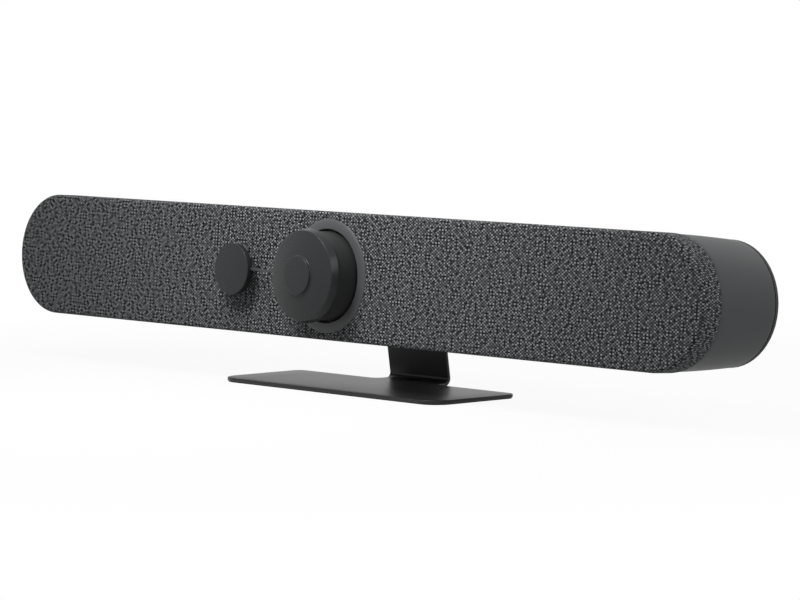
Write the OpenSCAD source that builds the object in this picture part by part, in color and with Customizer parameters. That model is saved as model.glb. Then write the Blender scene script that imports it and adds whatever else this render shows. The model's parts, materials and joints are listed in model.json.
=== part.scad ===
// All-in-one conference camera bar on a bent steel table stand, with its privacy caps on.
// The bar is drawn in its own front view: X to the right, Y up, Z out of the fabric front.

/* [Bar] */
// Overall width of the bar
bar_w = 721; // [640:1:860]
// Height of the bar across its fabric front
bar_h = 90.3; // [88:0.1:100]
// Depth of the bar from the fabric to the rear cover
bar_d = 75; // [73:0.5:90]
// Lean of the bar back on its stand, in degrees
bar_tilt = 3.6; // [1:0.1:6]
// Height of the middle of the bar's front above the table
bar_rise = 82.3; // [78:0.1:110]

/* [Fabric and shells] */
// Thickness of the stretched fabric
fabric_t = 1; // [0.8:0.1:1.3]
// Depth of the fabric band round the edge
fabric_band = 16.8; // [15:0.1:19]
// Rounding of the fabric's front edge
front_round = 2.5; // [1.8:0.1:3.5]
// Clear space between nested shells
skin_gap = 0.2; // [0.15:0.05:0.3]
// Thickness of the baffle's front wall
baffle_t = 3; // [2.6:0.1:3.4]
// Wall of the baffle's rim
rim_t = 2.9; // [2.5:0.1:3.2]
// Depth of the spigot that enters the rear housing
spigot_d = 7; // [5:0.5:10]
// Wall of that spigot
spigot_t = 2; // [1.6:0.1:2.2]
// Step from the fabric down to the plastic shell
band_step = 0.6; // [0.4:0.1:0.9]
// Inward taper of the shell at its rear edge
shell_taper = 2.6; // [1:0.1:3.4]
// Wall of the rear housing
shell_wall = 2.6; // [2.2:0.1:2.8]
// Width of the seam between shells
seam = 0.5; // [0.4:0.1:0.8]
// Thickness of the rear cover
cover_t = 3.4; // [3:0.1:4.2]
// Rounding of the rear cover's edge
cover_round = 1.8; // [1:0.1:2.6]

/* [Lens bezel] */
// Outer radius of the bezel ring
bezel_r = 40.1; // [39:0.1:41]
// Inner radius of the bezel ring
bezel_in = 32.5; // [32.2:0.1:33]
// Height of the ring's crest above the fabric
bezel_h = 1.5; // [1:0.1:3]
// Radius of the ring's crest
crest_r = 33.4; // [33.2:0.1:35]
// Radius of the collar that passes through the baffle
collar_r = 36; // [35.4:0.1:36.6]

/* [Camera head] */
// Radius of the ball-shaped camera head
head_r = 27.5; // [26.5:0.1:28]
// Depth of the ball's centre behind the fabric front
head_back = 16; // [15.5:0.1:18]
// Half width of the head across its side flats
flat_x = 20; // [18.5:0.1:20.5]
// Radius of the lens barrel
barrel_r = 13; // [11:0.1:13.4]
// Radius of the front glass
glass_r = 15; // [14.2:0.1:15.6]
// Thickness of the front glass
glass_t = 1.6; // [1:0.1:2]
// Radius of the pan and tilt shafts
shaft_r = 2; // [1.6:0.1:2.4]
// Radial running clearance of a shaft in its hole
run_gap = 0.05; // [0.03:0.01:0.08]
// Thickness of the yoke's arms
arm_t = 3; // [2.4:0.1:3.2]
// Width of the yoke's arms
arm_w = 12; // [9:0.5:13]
// Radius of the pan motor
pan_motor_r = 10; // [8:0.1:10.2]
// Radius of the tilt motor
tilt_motor_r = 8; // [6:0.1:8.4]

/* [Caps] */
// Radius of the large cap's front disc
cap_r = 31.6; // [31.2:0.1:32]
// Largest radius of the large cap's rim
cap_rim_r = 33.2; // [32.9:0.1:34]
// Distance of the edge of the large cap's face ahead of the fabric
cap_out = 24.3; // [23:0.1:28]
// Rise of the large cap's domed face from its edge to its middle
cap_dome = 4; // [2:0.1:6]
// Depth of the large cap's rim
cap_rim_d = 6.1; // [5:0.1:8]
// Outer radius of the cap's soft sleeve
sleeve_r = 31.3; // [31:0.1:31.5]
// Wall of the cap's soft sleeve
sleeve_t = 2.2; // [1.8:0.1:2.4]
// Radius of the raised disc in the middle of the large cap
boss_r = 13.6; // [10:0.1:18]
// Height of that raised disc above the dome
boss_h = 1.9; // [1.6:0.1:3]
// Radius of the small cap
small_cap_r = 18.5; // [16:0.1:20]
// Distance of the small cap's face ahead of the fabric
small_cap_out = 11.6; // [10.5:0.1:15]
// Thickness of the small cap
small_cap_t = 4.1; // [3:0.1:5]
// Height of the tether strap
tether_w = 2.2; // [1.6:0.1:3]
// Thickness of the tether strap
tether_t = 1.2; // [0.8:0.1:1.6]
// Dip of the tether strap in the middle
tether_dip = 0.4; // [0:0.1:3]

/* [Viewfinder] */
// Distance of the viewfinder to the left of the lens
finder_x = 91.5; // [84:0.1:100]
// Outer radius of the viewfinder's ring
finder_r = 9.4; // [9:0.1:11]
// Inner radius of the viewfinder's ring
finder_in = 7.6; // [7:0.1:8]

/* [Speakers and microphones] */
// Distance of each driver's middle in from the end of the bar
driver_inset = 128.5; // [104:0.5:132]
// Radius of the speaker's frame
driver_r = 33; // [30:0.5:34]
// Depth of the speaker
driver_d = 34; // [28:0.5:40]
// Pitch of the holes in the speaker screens
screen_pitch = 5.4; // [4.8:0.1:7]
// Radius of the holes in the speaker screens
screen_hole_r = 1.5; // [1:0.1:1.8]
// Length of each microphone board
mic_w = 110; // [90:1:120]

/* [Rear and electronics] */
// Middle of the port bay to the right of the lens
bay_x = 125; // [122:1:130]
// Width of the port bay
bay_w = 126; // [122:1:130]
// Height of the port bay
bay_h = 34; // [28:0.5:38]
// Depth of the port bay
bay_d = 14.2; // [11:0.1:16]
// Width of the vent panel
vent_w = 120; // [100:1:124]
// Height of the vent panel
vent_h = 38; // [30:0.5:42]
// Width of each vent slot
slot_w = 2.2; // [1.6:0.1:3]
// Pitch of the vent slots
slot_pitch = 4.6; // [4:0.1:7]
// Thickness of the circuit boards
board_t = 1.6; // [1:0.1:2]
// Half spacing of the wall bracket holes across the bar
wall_x = 45; // [42:0.5:46]
// Half spacing of the wall bracket holes up the bar
wall_y = 20; // [16:0.5:22]
// Bore radius of the threaded inserts
insert_r = 2; // [1.5:0.1:2.2]
// Length of the threaded inserts
insert_d = 9; // [7:0.5:10]

/* [Stand] */
// Width of the base plate
plate_w = 231; // [200:1:300]
// Front to back size of the base plate
plate_d = 78; // [74:0.5:100]
// Thickness of the stand's steel sheet
sheet_t = 2.6; // [2:0.1:3.2]
// Radius of the base plate's front corners
plate_front_round = 15.8; // [6:0.1:18]
// Radius of the base plate's rear corners
plate_rear_round = 7.7; // [3:0.1:12]
// Width of the neck
neck_w = 62; // [52:0.5:72]
// Forward lean of the neck, in degrees
neck_lean = 7.9; // [6:0.1:9]
// Distance from the plate's rear edge to the start of the bend
tongue = 9.4; // [6:0.1:12]
// Inner radius of the bends
bend_r = 3.5; // [3:0.1:9]
// Height above the middle of the rear cover at which the neck meets it
neck_meet = 10.1; // [6:0.1:12]
// Height of the flange's top above the middle of the rear cover
flange_top = 35; // [32:0.5:36]
// Half spacing of the stand screws
screw_x = 20; // [14:0.5:24]
// Thickness of the rubber pad under the base plate
pad_t = 0.6; // [0.5:0.1:1.5]

/* [Hidden] */
$fn = 72;
// Overrun of every cut
over = 1;
// Steps in a rounded edge
round_steps = 5;
// Steps along the shell's taper
taper_steps = 4;
// How early the shell's taper starts, as the power of its curve
taper_power = 1.5;

front_r = bar_h / 2;
run = bar_w / 2 - front_r;
shell_r = front_r - band_step;
rear_r = shell_r - shell_taper;
shell_front = -(fabric_band + seam);
cover_front = -(bar_d - cover_t);
shell_back = cover_front + seam;
baffle_front = -(fabric_t + skin_gap);
baffle_back = baffle_front - baffle_t;
rim_r = front_r - fabric_t - skin_gap;
rim_in = rim_r - rim_t;
spigot_gap = 0.5;
spigot_r = shell_r - shell_wall - spigot_gap;
spigot_in = spigot_r - spigot_t;
spigot_back = shell_front - spigot_d;

// Fits and small sizes of the lens bezel
bezel_dip = 1.2;
ledge_t = 1.1;
seat_gap = 0.3;
collar_back = baffle_back - bezel_dip;
ledge_in = sleeve_r - sleeve_t + seat_gap;

// Camera head and its gimbal
head_z = -head_back;
head_front_share = 0.8;
head_rear_share = 0.436;
head_front = head_r * head_front_share;
head_rear = head_r * head_rear_share;
flat_gap = 0.4;
arm_x = flat_x + flat_gap;
base_gap = 1.7;
base_t = 2.7;
base_y = -(head_r + base_gap);
web_gap = 1.8;
web_t = 2.7;
web_z = -(head_r + web_gap);
pivot_r = 7;
shelf_t = 1.5;
shelf_y = -(spigot_in - skin_gap);
motor_gap = 0.6;
pan_motor_h = base_y - base_t - motor_gap - shelf_y - shelf_t;
tilt_motor_h = 4.6;
shaft_share = 0.7;
motor_case_share = 0.8;
motor_end_share = 0.6;
pin_in = 3.8;
dome_share = 1.6;
wing_w = 10;
wing_h = 17;
wing_x = 47;
gimbal_screw_y = -28;

// Cap details
cap_skin = 2.2;
cap_edge = 0.4;
cap_face_r = cap_r - cap_edge;
cap_foot = 1;
dome_steps = 6;
sleeve_back = collar_back + ledge_t + seat_gap;
sleeve_front = cap_out - cap_skin;
plug_r = finder_in - seat_gap;
plug_t = 1.5;
plug_seat = 1.2;
plug_back = -1.8;
tether_gap = 0.2;
tether_steps = 14;

// Viewfinder details
finder_lip = 0.8;
finder_hem = 1.2;
finder_glass_z = -3;
finder_glass_t = 1.2;
finder_depth = 7;
finder_box = 20;
finder_box_d = 11;

// Speaker details, the outlines as shares of the driver's radius and depth
frame_shares = [[0.86, 0], [1, 0], [1, 0.06], [0.95, 0.06], [0.58, 0.55], [0.58, 1], [0, 1],
    [0, 0.62], [0.5, 0.62], [0.9, 0.07], [0.86, 0.06]];
cone_shares = [[0.85, 0.05], [0.82, 0.02], [0.76, 0.02], [0.73, 0.06], [0.28, 0.3], [0.2, 0.23],
    [0.1, 0.19], [0, 0.18], [0, 0.22], [0.1, 0.23], [0.19, 0.27], [0.28, 0.36], [0.75, 0.09],
    [0.77, 0.05], [0.81, 0.05], [0.82, 0.075]];
driver_open_share = 0.87;
driver_x = bar_w / 2 - driver_inset;
screen_edge = 2.5;
screen_t = 1.2;
screen_fit = 0.15;
mic_h = 10;
mic_share = 0.569;
mic_x = driver_x * mic_share;
mic_y = 31;
mic_port_r = 0.8;
mic_ports = 3;

// Rear cover, port bay and boards
bay_wall = 1.8;
bay_round = 5;
bay_floor = -(bar_d - bay_d);
board_edge = 7.4;
io_board_z = bay_floor + bay_d + bay_wall - board_t;
socket_fit = 0.15;
post_r = 4.5;
post_bite_share = 0.15;
post_y = rear_r - shell_wall - post_r + post_bite_share * post_r;
post_d = 25;
post_inset = 75.5;
post_end_x = bar_w / 2 - post_inset;
post_mid_x = 55;
screw_r = 1.5;
screw_head_r = 3;
screw_head_h = 1.8;
key_share = 0.8;
cover_screw_d = 12;
lip_gap = 0.4;
lip_t = 1.6;
lip_d = 3;
insert_wall = 1.1;
insert_boss = 1.9;
vent_fit = 0.15;
vent_round = 4;
vent_flange = 2.5;
vent_flange_t = 1.2;
vent_recess = 0.3;
slot_h_share = 0.8;
vent_x = -130;
main_w = 153;
main_h = 54;
main_shift = 1.5;
main_lift = 12;
main_x = vent_x + main_shift;
main_z = cover_front + main_lift;
sink_w = 116;
sink_d = 48;
sink_base = 3;
fin_t = 1.4;
fin_h = 12;
fin_pitch = 6.03;
spacer_r = 3;
spacer_edge = 3.6;
lock_w = 7;
lock_h = 3;
lock_x = bay_x + bay_w / 2 + 3 * lock_w;

// Sockets in the bay, each with its place to the right of the bay's middle
jack_x = -53;
jack_r = 5.4;
jack_bore_r = 3.1;
jack_pin_r = 1;
jack_bore_d = 10;
button_x = -39;
button_r = 2.6;
button_gap = 0.15;
button_out = 1.2;
button_flange = 1;
button_flange_t = 0.8;
button_travel = 0.8;
button_rest = 0.3;
hdmi_x = -14;
hdmi_pitch = 20;
hdmi_w = 15;
hdmi_h = 5.6;
hdmi_foot_share = 0.85;
hdmi_tongue_share = 0.7;
usb_x = 23.5;
usb_pitch = 17.2;
usb_w = 14;
usb_h = 6.8;
usb_tongue_share = 0.78;
metal_t = 0.5;
socket_d = 11;
tongue_t = 1.6;
lan_x = 51.6;
lan_w = 15.8;
lan_h = 13.6;
lan_wall = 1.7;
lan_in_d = 12;
lan_key_w = 6;
lan_key_h = 2;

// Stand outline and the line of the neck, in the side view [depth, height]
plate_top = pad_t + sheet_t;
neck_fillet = 6;
flange_round = 7;
pad_inset = 0.8;
stand_screw_drop = 11;
stand_screw_y = flange_top - stand_screw_drop;
stand_screw_d = 7;
stand_head_r = 3.8;
stand_head_h = 2.3;
bend_at = [plate_d / 2 + tongue, plate_top + bend_r];
neck_start = bend_at + bend_r * [cos(neck_lean), sin(neck_lean)];
neck_way = [-sin(neck_lean), cos(neck_lean)];
rear_way = [sin(bar_tilt), cos(bar_tilt)];
meet_z = bar_rise - bar_d * sin(bar_tilt) + neck_meet * cos(bar_tilt);
meet = neck_start + (meet_z - neck_start[1]) / cos(neck_lean) * neck_way;
rear_mid = meet - neck_meet * rear_way;
bar_ahead = bar_d * cos(bar_tilt) - rear_mid[0];
bend_2 = (bend_r + sheet_t) * tan((neck_lean + bar_tilt) / 2);
bend_mid = meet - bend_2 * neck_way + (bend_r + sheet_t) * [cos(neck_lean), sin(neck_lean)];
rear_out = [cos(bar_tilt), -sin(bar_tilt)];
bend_steps = 16;

// Points of an elliptic arc round c, with radii r, from angle a to angle b
function arc(c, r, a, b) = [for (i = [0:round_steps])
    let (t = a + (b - a) * i / round_steps) [c[0] + r[0] * cos(t), c[1] + r[1] * sin(t)]];
// Points of a bend in the side view, in a number of steps
function turn(c, r, a, b, steps) = [for (i = [0:steps])
    let (t = a + (b - a) * i / steps) [c[0] + r * cos(t), c[1] + r * sin(t)]];
// Half outline of a body with a rounded front edge, as [radius, height]
function front_outline(r, edge, top, low) = concat([[0, top]],
    arc([r - edge, top - edge], [edge, edge], 90, 0), [[r, low], [0, low]]);
// Half outline of a body with a rounded rear edge
function rear_outline(r, edge, top, low) = concat([[0, top], [r, top]],
    arc([r - edge, low + edge], [edge, edge], 0, -90), [[0, low]]);
// Half outline of the tapering shell, drawn in by a wall and run past its ends by extra
function shell_outline(wall, extra) = concat([[0, shell_front + extra]],
    [if (extra > 0) [shell_r - wall, shell_front + extra]],
    [for (i = [0:taper_steps]) let (s = i / taper_steps)
        [shell_r - wall - shell_taper * pow(s, taper_power), shell_front + (shell_back - shell_front) * s]],
    [if (extra > 0) [rear_r - wall, shell_back - extra]], [[0, shell_back - extra]]);

// Puts what is drawn in the bar's front view in its place on the stand
module in_bar() {
    translate([0, -bar_ahead, bar_rise]) rotate([90 - bar_tilt, 0, 0]) children();
}

// A body with half-round ends, from half its section
module bar_solid(half) {
    other = [for (i = [len(half) - 1:-1:0]) if (half[i][0] > 0) [-half[i][0], half[i][1]]];
    for (side = [-1, 1]) translate([side * run, 0, 0]) rotate_extrude() polygon(half);
    translate([-run, 0, 0]) rotate([90, 0, 90]) linear_extrude(2 * run) polygon(concat(half, other));
}

// A flat bar with half-round ends between two heights
module bar_slab(r, top, low) {
    bar_solid([[0, top], [r, top], [r, low], [0, low]]);
}

// A rectangle with rounded corners
module soft_rect(w, h, r) {
    square([w - 2 * r, h], center = true);
    square([w, h - 2 * r], center = true);
    for (x = [-1, 1], y = [-1, 1]) translate([x * (w / 2 - r), y * (h / 2 - r)]) circle(r);
}

// A round bar along the front view's Z axis between two heights
module pole(r, top, low) {
    translate([0, 0, low]) cylinder(r = r, h = top - low);
}

module fabric_grille() {
    color("#4b4c4e") in_bar() difference() {
        bar_solid(front_outline(front_r, front_round, 0, -fabric_band));
        bar_solid(front_outline(front_r - fabric_t, front_round - fabric_t, -fabric_t,
            -fabric_band - over));
        pole(collar_r + skin_gap, over, -fabric_t - over);
        translate([-finder_x, 0, 0]) pole(finder_in + finder_hem, over, -fabric_t - over);
    }
}

module front_baffle() {
    rim_edge = front_round - fabric_t;
    step_z = shell_front + 2 * seam;
    color("#26282a") in_bar() difference() {
        union() {
            bar_solid(front_outline(rim_r, rim_edge, baffle_front, -fabric_band));
            bar_slab(spigot_r, -fabric_band, spigot_back);
        }
        bar_solid([[0, baffle_back], [rim_in, baffle_back], [rim_in, step_z + spigot_t],
            [spigot_in, step_z], [spigot_in, spigot_back - over], [0, spigot_back - over]]);
        pole(collar_r + skin_gap, 0, baffle_back - over);
        translate([-finder_x, 0, 0]) pole(finder_in + finder_hem, 0, baffle_back - over);
        for (side = [-1, 1]) {
            translate([side * driver_x, 0, 0]) {
                pole(driver_r * driver_open_share, 0, baffle_back - over);
                pole(driver_r * driver_open_share + screen_edge + screen_fit, 0,
                    baffle_front - screen_t);
            }
            for (i = [0:mic_ports - 1])
                translate([side * mic_x + (i - (mic_ports - 1) / 2) * mic_w / mic_ports, mic_y, 0])
                    pole(mic_port_r, 0, baffle_back - over);
            translate([side * wing_x, gimbal_screw_y, 0])
                pole(screw_r + run_gap, baffle_front - fabric_t, baffle_back - over);
        }
    }
}

// Places of the screw posts between the rear housing and the rear cover
module at_posts() {
    for (x = [-post_end_x, -post_mid_x, post_mid_x, post_end_x], y = [-post_y, post_y])
        translate([x, y, 0]) children();
}

module rear_housing() {
    color("#3a3c3e") in_bar() difference() {
        union() {
            difference() {
                bar_solid(shell_outline(0, 0));
                bar_solid(shell_outline(shell_wall, over));
            }
            at_posts() pole(post_r, cover_front + post_d, cover_front);
        }
        at_posts() pole(screw_r + run_gap, cover_front + cover_screw_d + over, cover_front - over);
    }
}

// Outline of the bay's walls, grown by a wall's width
module bay_outline(grow) {
    translate([bay_x, 0]) soft_rect(bay_w + 2 * grow, bay_h + 2 * grow, bay_round + grow);
}

// Places of the holes for a wall bracket
module at_wall_holes() {
    for (x = [-wall_x, wall_x], y = [-wall_y, wall_y]) translate([x, y, 0]) children();
}

module at_stand_holes() {
    for (x = [-screw_x, screw_x]) translate([x, stand_screw_y, 0]) children();
}

// Outline of a socket's mouth
module hdmi_outline(grow) {
    w = hdmi_w / 2 + grow;
    h = hdmi_h / 2 + grow;
    foot = w * hdmi_foot_share;
    polygon([[-w, h], [w, h], [w, -h / 3], [foot, -h], [-foot, -h], [-w, -h / 3]]);
}

module at_hdmi() {
    for (i = [-1, 1]) translate([bay_x + hdmi_x + i * hdmi_pitch / 2, 0, 0]) children();
}

module at_usb() {
    for (i = [-1, 1]) translate([bay_x + usb_x + i * usb_pitch / 2, 0, 0]) children();
}

module rear_cover() {
    bay_in = bay_floor + bay_wall;
    color("#36383a") in_bar() difference() {
        union() {
            bar_solid(rear_outline(rear_r, cover_round, cover_front, -bar_d));
            difference() {
                bar_slab(rear_r - shell_wall - lip_gap, cover_front + lip_d, cover_front);
                bar_slab(rear_r - shell_wall - lip_gap - lip_t, cover_front + lip_d + over,
                    cover_front);
                at_posts() pole(post_r + lip_gap, cover_front + lip_d + over, cover_front);
            }
            translate([0, 0, cover_front]) linear_extrude(bay_in - cover_front) bay_outline(bay_wall);
            at_wall_holes() pole(insert_r + insert_wall + insert_boss, insert_d - bar_d, cover_front);
            at_stand_holes() pole(insert_r + insert_wall + insert_boss, insert_d - bar_d, cover_front);
        }
        translate([0, 0, -bar_d - over]) linear_extrude(bay_d + over) bay_outline(0);
        translate([bay_x, 0, bay_floor - over]) linear_extrude(bay_wall + 2 * over) {
            translate([jack_x, 0]) circle(jack_r + socket_fit);
            translate([button_x, 0]) circle(button_r + button_gap);
            translate([lan_x, 0]) square([lan_w + 2 * socket_fit, lan_h + 2 * socket_fit], center = true);
        }
        at_hdmi() translate([0, 0, bay_floor - over]) linear_extrude(bay_wall + 2 * over)
            hdmi_outline(metal_t + socket_fit);
        at_usb() translate([0, 0, bay_floor - over]) linear_extrude(bay_wall + 2 * over)
            square([usb_w + 2 * socket_fit, usb_h + 2 * socket_fit], center = true);
        translate([vent_x, 0, -bar_d - over]) linear_extrude(cover_t + 2 * over)
            soft_rect(vent_w, vent_h, vent_round);
        translate([lock_x, 0, -bar_d - over]) linear_extrude(cover_t + 2 * over)
            square([lock_w, lock_h], center = true);
        at_posts() {
            pole(screw_r + run_gap, cover_front + over, -bar_d - over);
            pole(screw_head_r + skin_gap, -bar_d + screw_head_h, -bar_d - over);
        }
        at_wall_holes() pole(insert_r + insert_wall + run_gap, insert_d - bar_d + over, -bar_d - over);
        at_stand_holes() pole(insert_r + insert_wall + run_gap, insert_d - bar_d + over, -bar_d - over);
    }
}

module vent_panel() {
    slots = floor((vent_w - 2 * vent_round) / slot_pitch);
    color("#2c2e30") in_bar() translate([vent_x, 0, 0]) difference() {
        union() {
            translate([0, 0, vent_recess - bar_d]) linear_extrude(cover_t - vent_recess)
                soft_rect(vent_w - 2 * vent_fit, vent_h - 2 * vent_fit, vent_round);
            translate([0, 0, cover_front]) linear_extrude(vent_flange_t)
                soft_rect(vent_w + 2 * vent_flange, vent_h + 2 * vent_flange, vent_round);
        }
        for (i = [0:slots - 1])
            translate([(i - (slots - 1) / 2) * slot_pitch, 0, cover_front])
                cube([slot_w, vent_h * slot_h_share, 2 * (cover_t + over)], center = true);
    }
}

// A screw whose head's outer face is at the given height, entering upwards
module screw_up(head_r, head_h, r, length, drive_r) {
    difference() {
        union() {
            cylinder(r = head_r, h = head_h);
            cylinder(r = r, h = head_h + length);
        }
        translate([0, 0, -over]) cylinder(r = drive_r, h = over + head_h / 2, $fn = 6);
    }
}

module cover_screws() {
    color("#55575a") in_bar() at_posts() translate([0, 0, -bar_d])
        screw_up(screw_head_r, screw_head_h, screw_r, cover_screw_d, screw_r * key_share);
}

module lens_bezel() {
    outer = arc([crest_r, 0], [bezel_r - crest_r, bezel_h], 0, 90);
    inner = arc([crest_r, -bezel_dip], [crest_r - bezel_in, bezel_h + bezel_dip], 90, 180);
    ledge = [[bezel_in, collar_back + ledge_t], [ledge_in, collar_back + ledge_t],
        [ledge_in, collar_back], [collar_r, collar_back], [collar_r, 0]];
    color("#5f6163") in_bar() rotate_extrude() polygon(concat(outer, inner, ledge));
}

module camera_head() {
    recess = head_z + head_front - glass_t - flat_gap;
    color("#1b1c1e") in_bar() difference() {
        intersection() {
            translate([0, 0, head_z]) sphere(head_r);
            translate([-flat_x, -head_r, head_z - head_rear])
                cube([2 * flat_x, 2 * head_r, head_rear + head_front]);
        }
        pole(barrel_r + skin_gap, head_z + head_r, head_z - head_r);
        pole(glass_r + skin_gap, head_z + head_r, recess);
        for (side = [0, 180])
            translate([0, 0, head_z]) rotate([0, side + 90, 0]) translate([0, 0, flat_x - pin_in])
                cylinder(r = shaft_r + run_gap, h = pin_in + over);
    }
}

module lens_barrel() {
    front = head_z + head_front - glass_t - 2 * flat_gap;
    steps = 4;
    color("#141516") in_bar() difference() {
        pole(barrel_r, front, head_z - head_rear - 2 * skin_gap);
        for (i = [0:steps - 1])
            pole(barrel_r - glass_t - i * metal_t, front + over, front - (i + 1) * glass_t);
    }
}

module lens_glass() {
    low = head_z + head_front - glass_t - flat_gap;
    color("#20242c") in_bar() pole(glass_r, low + glass_t, low);
}

module lens_element() {
    low = head_z + head_front - 2 * flat_gap - 5 * glass_t;
    r = barrel_r - 2 * glass_t - 2 * metal_t;
    color("#2b3344") in_bar() intersection() {
        pole(r, low + 3 * glass_t, low);
        translate([0, 0, low + 3 * glass_t - dome_share * r]) sphere(dome_share * r);
    }
}

module sensor_board() {
    side = 2 * barrel_r;
    color("#1f5a3a") in_bar()
        translate([-side / 2, -side / 2, head_z - head_rear - 2 * skin_gap - board_t])
            cube([side, side, board_t]);
}

module tilt_shafts() {
    color("#a7a9ac") in_bar() translate([0, 0, head_z]) for (side = [-1, 1]) {
        long = side > 0 ? tilt_motor_h * shaft_share : -skin_gap;
        rotate([0, side * 90, 0]) translate([0, 0, flat_x - pin_in + skin_gap])
            cylinder(r = shaft_r, h = pin_in - skin_gap + flat_gap + arm_t + long);
    }
}

module pan_yoke() {
    web_w = 2 * (arm_x + arm_t);
    color("#77797c") in_bar() translate([0, 0, head_z]) difference() {
        union() {
            for (x = [-arm_x - arm_t, arm_x]) {
                translate([x, -arm_w / 2, web_z]) cube([arm_t, arm_w, -web_z]);
                translate([x, 0, 0]) rotate([0, 90, 0]) cylinder(r = arm_w / 2, h = arm_t);
            }
            translate([-web_w / 2, base_y - base_t, web_z - web_t])
                cube([web_w, arm_w / 2 - base_y + base_t, web_t]);
            translate([-pivot_r, base_y - base_t, web_z]) cube([2 * pivot_r, base_t, -web_z]);
            translate([0, base_y, 0]) rotate([90, 0, 0]) cylinder(r = pivot_r, h = base_t);
        }
        translate([-web_w / 2 - over, 0, 0]) rotate([0, 90, 0])
            cylinder(r = shaft_r + run_gap, h = web_w + 2 * over);
        translate([0, base_y + over, 0]) rotate([90, 0, 0])
            cylinder(r = shaft_r + run_gap, h = base_t + 2 * over);
        translate([0, base_y / 3, web_z - web_t - over])
            cylinder(r = pivot_r, h = web_t + 2 * over);
    }
}

module tilt_motor() {
    color("#3c3e42") in_bar() translate([arm_x + arm_t, 0, head_z]) rotate([0, 90, 0])
        difference() {
            union() {
                cylinder(r = tilt_motor_r, h = tilt_motor_h * motor_case_share);
                cylinder(r = tilt_motor_r * motor_end_share, h = tilt_motor_h);
            }
            translate([0, 0, -over])
                cylinder(r = shaft_r + run_gap, h = over + tilt_motor_h * motor_case_share);
        }
}

module pan_shaft() {
    low = shelf_y + shelf_t + skin_gap;
    color("#a7a9ac") in_bar() translate([0, base_y - skin_gap, head_z]) rotate([90, 0, 0])
        cylinder(r = shaft_r, h = base_y - skin_gap - low);
}

module pan_motor() {
    color("#3c3e42") in_bar() translate([0, shelf_y + shelf_t + pan_motor_h, head_z])
        rotate([90, 0, 0]) difference() {
            cylinder(r = pan_motor_r, h = pan_motor_h);
            translate([0, 0, -over]) cylinder(r = shaft_r + run_gap, h = pan_motor_h + 2 * over);
        }
}

module gimbal_frame() {
    back = head_z - pan_motor_r - 2 * shelf_t;
    color("#8b8d90") in_bar() difference() {
        union() {
            translate([-wing_x - wing_w / 2, shelf_y, back])
                cube([2 * wing_x + wing_w, shelf_t, baffle_back - back]);
            for (side = [-1, 1])
                translate([side * wing_x - wing_w / 2, shelf_y, baffle_back - shelf_t])
                    cube([wing_w, wing_h, shelf_t]);
        }
        for (side = [-1, 1]) translate([side * wing_x, gimbal_screw_y, 0])
            pole(screw_r + run_gap, 0, baffle_back - shelf_t - over);
    }
}

module gimbal_screws() {
    color("#55575a") in_bar() for (side = [-1, 1])
        translate([side * wing_x, gimbal_screw_y, baffle_back - shelf_t - screw_head_h])
            screw_up(screw_head_r, screw_head_h, screw_r, shelf_t + baffle_t - fabric_t - skin_gap,
                screw_r * key_share);
}

// Height of the large cap's domed face at a distance from its middle
function dome_z(r) = cap_out + cap_dome * (1 - pow(r / cap_face_r, 2));

// One profile from the raised disc, down its wall and out over the dome, to the rim's flank
module lens_cap() {
    disc_top = dome_z(boss_r) + boss_h;
    disc = arc([boss_r - cap_edge, disc_top - cap_edge], [cap_edge, cap_edge], 90, 0);
    foot_r = boss_r + cap_foot;
    foot = arc([foot_r, dome_z(foot_r) + cap_foot], [cap_foot, cap_foot], 180, 270);
    dome = [for (i = [1:dome_steps - 1])
        let (r = foot_r + (cap_face_r - foot_r) * i / dome_steps) [r, dome_z(r)]];
    edge = arc([cap_face_r, cap_out - cap_edge], [cap_edge, cap_edge], 90, 15);
    rim_low = cap_out - cap_rim_d;
    rim = [[cap_rim_r, rim_low + cap_edge], [cap_rim_r, rim_low], [sleeve_r + run_gap, rim_low],
        [sleeve_r + run_gap, sleeve_front], [0, sleeve_front]];
    color("#4a4c4e") in_bar() rotate_extrude()
        polygon(concat([[0, disc_top]], disc, foot, dome, edge, rim));
}

module cap_sleeve() {
    color("#222427") in_bar() difference() {
        pole(sleeve_r, sleeve_front, sleeve_back);
        pole(sleeve_r - sleeve_t, sleeve_front - sleeve_t, sleeve_back - over);
    }
}

module viewfinder_cap() {
    low = small_cap_out - small_cap_t;
    color("#4a4c4e") in_bar() translate([-finder_x, 0, 0]) difference() {
        rotate_extrude() polygon(front_outline(small_cap_r, cap_edge, small_cap_out, low));
        pole(plug_r + run_gap, low + plug_seat, low - over);
    }
}

module viewfinder_plug() {
    low = small_cap_out - small_cap_t;
    color("#222427") in_bar() translate([-finder_x, 0, 0]) difference() {
        pole(plug_r, low + plug_seat, plug_back);
        pole(plug_r - plug_t, low - plug_t, plug_back - over);
    }
}

// The strap's middle line runs in an S from the small cap's side to the large cap's rim
module cap_tether() {
    from = [-finder_x + small_cap_r + tether_gap, small_cap_out - small_cap_t / 2];
    to = [-cap_rim_r - tether_gap, cap_out - cap_rim_d + cap_edge + tether_t];
    corners = [[-1, -1], [1, -1], [1, 1], [-1, 1]];
    points = [for (i = [0:tether_steps], c = corners)
        let (s = i / tether_steps, ease = (1 - cos(180 * s)) / 2,
            y = tether_w / 2 - tether_dip * pow(sin(180 * s), 2))
        [from[0] + (to[0] - from[0]) * s, y + c[0] * tether_w / 2,
            from[1] + (to[1] - from[1]) * ease + c[1] * tether_t / 2]];
    sides = [for (i = [0:tether_steps - 1], k = [0:3]) let (a = 4 * i + k, b = 4 * i + (k + 1) % 4)
        each [[a, b + 4, b], [a, a + 4, b + 4]]];
    last = 4 * tether_steps;
    ends = [[0, 1, 2], [0, 2, 3], [last, last + 2, last + 1], [last, last + 3, last + 2]];
    color("#333538") in_bar() polyhedron(points, concat(sides, ends));
}

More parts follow.
